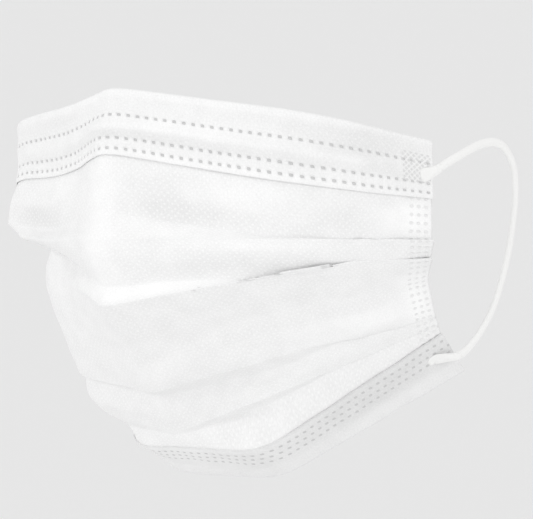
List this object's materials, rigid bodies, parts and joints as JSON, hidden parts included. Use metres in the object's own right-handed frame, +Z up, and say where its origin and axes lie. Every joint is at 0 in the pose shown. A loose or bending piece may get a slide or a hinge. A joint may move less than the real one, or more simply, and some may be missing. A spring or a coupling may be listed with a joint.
{
  "type": "surgical face mask",
  "caption": "Pleated disposable face mask, opened as worn, with a shaped nose wire, welded edge strips and elastic ear loops.",
  "frame": {"origin": "inner face of the top edge at the nose crease, where the mask sits on the bridge of the nose", "axes": "+Z up as worn, the outside faces -Y, the wearer's face is on the +Y side, +X towards the end that shows in the picture"},
  "size_m": [0.1448, 0.1019, 0.108],
  "materials": {
    "spunbond_cloth": "matt white spunbond polypropylene with a fine lattice of bond points",
    "binding_strip": "matt white spunbond strip with rows of pressed weld dots",
    "coated_wire": "white plastic-coated wire, satin",
    "elastic": "soft white knitted elastic, matt"
  },
  "bodies": {
    "root": {"mask_body": "spunbond_cloth", "top_binding": "binding_strip", "bottom_hem": "binding_strip", "nose_wire": "coated_wire", "ear_loop_right": "elastic", "ear_loop_left": "elastic", "weld_tab_right_top": "elastic", "weld_tab_right_bottom": "elastic", "weld_tab_left_top": "elastic", "weld_tab_left_bottom": "elastic"}
  },
  "joints": []
}
